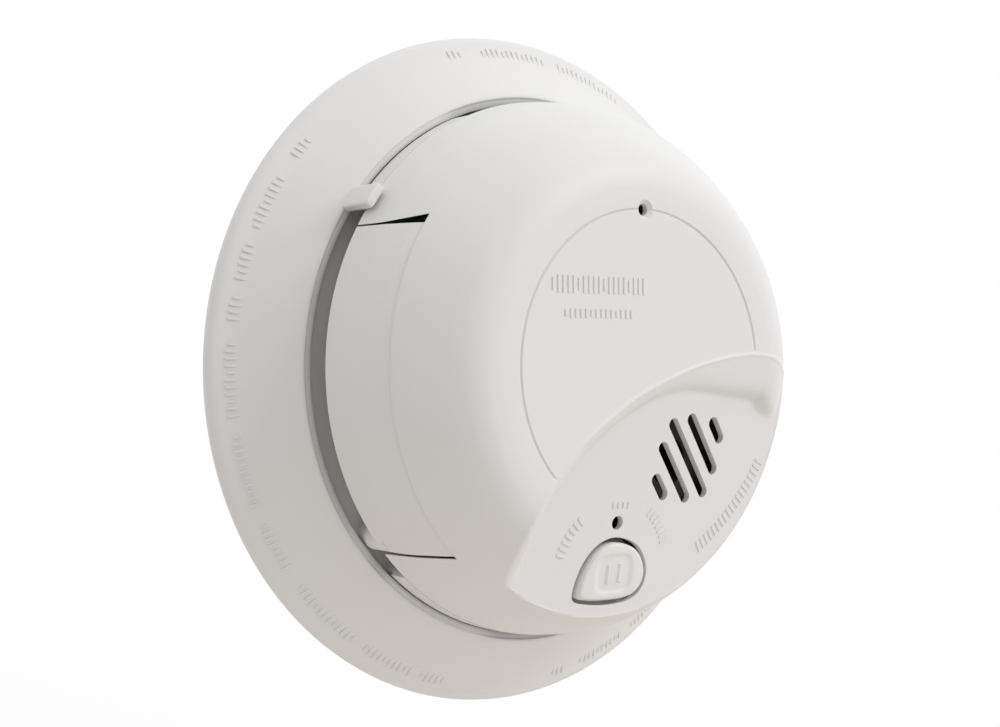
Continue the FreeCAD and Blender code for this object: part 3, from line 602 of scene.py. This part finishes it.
cover = makeCover()
ring, fittings = makeBracket()
bandMarks = makeBandMarks()
faceMarks = makeFaceMarks()
testButton = makeButton()
batteryBlock = makeBattery()
resistorRow = makeRow("resistorRow", boardRows["resistors"])
diodeRow = makeRow("diodeRow", boardRows["diodes"])
print("surfaces made")


# Wraps a node output so that sums are written as sums.
class Socket:

    def __init__(self, material, output):
        self.material = material
        self.output = output

    def math(self, operation, first, second):
        node = self.material.node_tree.nodes.new("ShaderNodeMath")
        node.operation = operation
        for slot, value in zip(node.inputs, (first, second)):
            if isinstance(value, Socket):
                self.material.node_tree.links.new(value.output, slot)
            else:
                slot.default_value = value
        return Socket(self.material, node.outputs[0])

    def __add__(self, other):
        return self.math("ADD", self, other)

    def __radd__(self, other):
        return self.math("ADD", other, self)

    def __sub__(self, other):
        return self.math("SUBTRACT", self, other)

    def __rsub__(self, other):
        return self.math("SUBTRACT", other, self)

    def __mul__(self, other):
        return self.math("MULTIPLY", self, other)

    def __rmul__(self, other):
        return self.math("MULTIPLY", other, self)

    def __gt__(self, other):
        return self.math("GREATER_THAN", self, other)


class Painter:
    def __init__(self, name):
        self.material = bpy.data.materials.new(name)
        self.material.use_nodes = True
        self.tree = self.material.node_tree
        self.shader = self.tree.nodes["Principled BSDF"]

    # Any other node: its settings, then its inputs by name.
    def node(self, kind, settings=None, **inputs):
        made = self.tree.nodes.new(kind)
        for key, value in (settings or {}).items():
            setattr(made, key, value)
        for key, value in inputs.items():
            self.feed(made.inputs[key.replace("_", " ")], value)
        return made

    def feed(self, slot, value):
        if isinstance(value, Socket):
            self.tree.links.new(value.output, slot)
        else:
            slot.default_value = value

    def place(self):
        return Socket(self, self.node("ShaderNodeTexCoord").outputs["Object"])

    def noise(self, scale, detail=3.0):
        made = self.node("ShaderNodeTexNoise", Vector=self.place(), Scale=scale, Detail=detail)
        return Socket(self, made.outputs[0])

    def blend(self, share, first, second):
        made = self.node("ShaderNodeMix", {"data_type": "RGBA"})
        self.feed(made.inputs[0], share)
        self.feed(made.inputs[6], (*first, 1) if isinstance(first, tuple) else first)
        self.feed(made.inputs[7], (*second, 1) if isinstance(second, tuple) else second)
        return Socket(self, made.outputs[2])

    def bump(self, height, strength, distance):
        made = self.node("ShaderNodeBump", Height=height, Strength=strength, Distance=distance)
        self.feed(self.shader.inputs["Normal"], Socket(self, made.outputs[0]))

    @property
    def node_tree(self):
        return self.tree


def darker(colour, share):
    return tuple(channel * share for channel in colour)


# Plain stock material: slow tone change, fine grain in roughness and bump.
def surface(name, colour, roughness, metallic=0.0, fleck=0.06, scale=900.0, grain=0.03, coat=0.0):
    painter = Painter(name)
    tone = painter.noise(60.0, 2.0)
    fine = painter.noise(scale, 4.0)
    painter.feed(painter.shader.inputs["Base Color"],
                 painter.blend(tone * 0.6 + fine * 0.4, darker(colour, 1 - fleck), colour))
    painter.feed(painter.shader.inputs["Roughness"], roughness - 0.05 + fine * 0.1)
    painter.shader.inputs["Metallic"].default_value = metallic
    painter.shader.inputs["Coat Weight"].default_value = coat
    painter.bump(fine, grain * 4, 0.0001)
    return painter.material


# Dark wrap with a copper-coloured band towards the terminal end.
def batteryWrap():
    painter = Painter("batteryWrap")
    split = painter.node("ShaderNodeSeparateXYZ", Vector=painter.place())
    height = Socket(painter, split.outputs[2])
    fine = painter.noise(700.0)
    band = height > battery["bandFrom"]
    painter.feed(painter.shader.inputs["Base Color"],
                 painter.blend(band, battery["wrap"], battery["band"]))
    painter.feed(painter.shader.inputs["Roughness"], 0.28 + fine * 0.12)
    painter.bump(fine, 0.05, 0.0001)
    return painter.material


# Plain body with painted rings at set heights.
def banded(name, colour, rings, roughness):
    painter = Painter(name)
    split = painter.node("ShaderNodeSeparateXYZ", Vector=painter.place())
    height = Socket(painter, split.outputs[2])
    fine = painter.noise(1200.0)
    paintwork = painter.blend(fine, darker(colour, 0.9), colour)
    for low, high, ink in rings:
        paintwork = painter.blend((height > low) - (height > high), paintwork, ink)
    painter.feed(painter.shader.inputs["Base Color"], paintwork)
    painter.feed(painter.shader.inputs["Roughness"], roughness + fine * 0.1)
    painter.bump(fine, 0.06, 0.0001)
    return painter.material


looks = {
    "housing_white": surface("housingWhite", paint["offWhite"], 0.48,
                             fleck=0.03, scale=1600, grain=0.02),
    "button_white": surface("buttonWhite", paint["buttonWhite"], 0.42,
                            fleck=0.03, scale=1600, grain=0.015),
    "steel": surface("steel", (0.60, 0.60, 0.61), 0.32, metallic=1.0),
    "spring_brass": surface("springBrass", (0.76, 0.58, 0.30), 0.28, metallic=1.0),
    "board_green": surface("boardGreen", (0.05, 0.21, 0.09), 0.35, fleck=0.25, scale=300, coat=0.3),
    "black_plastic": surface("blackPlastic", (0.035, 0.035, 0.037), 0.45, fleck=0.2),
    "chamber_metal": surface("chamberMetal", (0.74, 0.75, 0.76), 0.35, metallic=1.0),
    "foil_silver": surface("foilSilver", (0.82, 0.82, 0.82), 0.2, metallic=1.0),
    "clear_plastic": surface("clearPlastic", (0.30, 0.31, 0.32), 0.12, coat=0.5),
    "led_red": surface("ledRed", (0.5, 0.03, 0.03), 0.15, coat=0.5),
    "led_green": surface("ledGreen", (0.06, 0.42, 0.10), 0.15, coat=0.5),
    "battery_wrap": batteryWrap(),
    "capacitor_tan": surface("capacitorTan", (0.68, 0.53, 0.27), 0.3, coat=0.3),
    "capacitor_blue": surface("capacitorBlue", (0.06, 0.10, 0.28), 0.3),
    "resistor_body": banded("resistorBody", (0.66, 0.56, 0.38),
                            [(0.0148, 0.0153, (0.16, 0.06, 0.03)),
                             (0.0160, 0.0165, (0.02, 0.02, 0.02)),
                             (0.0171, 0.0176, (0.45, 0.10, 0.03)),
                             (0.0186, 0.0191, (0.62, 0.43, 0.12))],
                            0.3),
    "diode_body": banded("diodeBody", (0.03, 0.03, 0.032),
                         [(-0.0174, -0.0168, (0.6, 0.6, 0.6))], 0.3),
    "socket_cream": surface("socketCream", (0.74, 0.70, 0.60), 0.45),
    "label_paper": surface("labelPaper", (0.83, 0.83, 0.81), 0.6),
}
record = {
    "mounting_bracket": "housing_white", "base_housing": "housing_white",
    "front_cover": "housing_white", "battery_drawer": "housing_white",
    "test_button": "button_white", "drawer_hinge_pin": "steel", "battery_case": "battery_wrap",
    "battery_terminals": "steel", "battery_contacts": "spring_brass",
    "circuit_board": "board_green", "cover_screws": "steel", "board_screws": "steel",
    "chamber_base": "black_plastic", "source_holder": "steel", "source_disc": "foil_silver",
    "collector_plate": "chamber_metal", "chamber_cover": "chamber_metal",
    "insect_screen": "steel", "horn_housing": "black_plastic", "piezo_disc": "spring_brass",
    "horn_contacts": "spring_brass", "alarm_led": "led_red", "power_led": "led_green",
    "alarm_light_pipe": "clear_plastic", "power_light_pipe": "clear_plastic",
    "alarm_ic": "black_plastic", "film_capacitor": "capacitor_tan",
    "electrolytic_capacitors": "capacitor_blue", "resistors": "resistor_body",
    "diodes": "black_plastic", "test_contact": "spring_brass", "power_socket": "socket_cream",
    "connector_pins": "steel", "rear_label": "label_paper",
}
for item in list(bpy.data.objects):
    if item.type == "MESH" and item.name in record:
        item.data.materials.clear()
        item.data.materials.append(looks[record[item.name]])
for piece, look in ((cover, "housing_white"), (ring, "housing_white"), (fittings, "housing_white"),
                    (bandMarks, "housing_white"), (faceMarks, "housing_white"),
                    (testButton, "button_white"), (batteryBlock, "battery_wrap"),
                    (resistorRow, "resistor_body"), (diodeRow, "diode_body")):
    piece.data.materials.clear()
    piece.data.materials.append(looks[look])
print("materials set")

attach(cover, "alarm")
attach(faceMarks, "alarm")
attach(ring, "bracket")
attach(fittings, "bracket")
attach(bandMarks, "bracket")
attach(testButton, "test_button")
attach(batteryBlock, "battery_drawer")
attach(resistorRow, "alarm")
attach(diodeRow, "alarm")
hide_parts("front_cover")
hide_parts("mounting_bracket")
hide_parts("test_button")
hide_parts("battery_case")
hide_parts("resistors")
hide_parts("diodes")


scene = bpy.context.scene
eye = bpy.data.cameras.new("eye")
eye.lens = camera["lens"]
eyeObject = bpy.data.objects.new("eye", eye)
eyeObject.location = [value * 0.001 for value in camera["location"]]
eyeObject.rotation_euler = [np.radians(value) for value in camera["turn"]]
scene.collection.objects.link(eyeObject)
scene.camera = eyeObject
eye.clip_start = 0.01

floorMesh = bpy.data.meshes.new("floor")
edge = circle(0, 0, 0.42, 96)
floorMesh.from_pydata([(x, y, -0.2) for x, y in edge.tolist()], [], [tuple(range(96))])
floor = bpy.data.objects.new("floor", floorMesh)
scene.collection.objects.link(floor)
floor.data.materials.append(surface("paleFloor", (0.76, 0.71, 0.665), 0.7, fleck=0.01))

# The room is white behind and to the upper right, darker to the left and in front,
# where it is also a little warm.
world = bpy.data.worlds.new("studio")
scene.world = world
world.use_nodes = True
room = world.node_tree
heading = room.nodes.new("ShaderNodeTexCoord")
toLight = room.nodes.new("ShaderNodeVectorMath")
toLight.operation = "DOT_PRODUCT"
toLight.inputs[1].default_value = light["brightWay"]
spread = room.nodes.new("ShaderNodeMapRange")
spread.interpolation_type = "SMOOTHSTEP"
spread.inputs["From Min"].default_value = -0.85
spread.inputs["From Max"].default_value = 0.35
spread.inputs["To Min"].default_value = light["dimmest"]
spread.inputs["To Max"].default_value = 1.0
room.links.new(heading.outputs["Generated"], toLight.inputs[0])
room.links.new(toLight.outputs["Value"], spread.inputs["Value"])
room.links.new(spread.outputs["Result"], room.nodes["Background"].inputs["Strength"])
tint = room.nodes.new("ShaderNodeMix")
tint.data_type = "RGBA"
tint.inputs[6].default_value = light["dimTint"]
tint.inputs[7].default_value = (1.0, 1.0, 1.0, 1)
room.links.new(spread.outputs["Result"], tint.inputs[0])
room.links.new(tint.outputs[2], room.nodes["Background"].inputs["Color"])
scene.view_settings.view_transform = "Standard"


def softBox(name, location, turn, size, power):
    glow = bpy.data.lights.new(name, "AREA")
    glow.size = size
    glow.energy = power
    lamp = bpy.data.objects.new(name, glow)
    lamp.location = location
    lamp.rotation_euler = [np.radians(value) for value in turn]
    scene.collection.objects.link(lamp)


softBox("key", light["keyPlace"], light["keyTurn"], light["keySize"], light["keyPower"])
print("stage set")
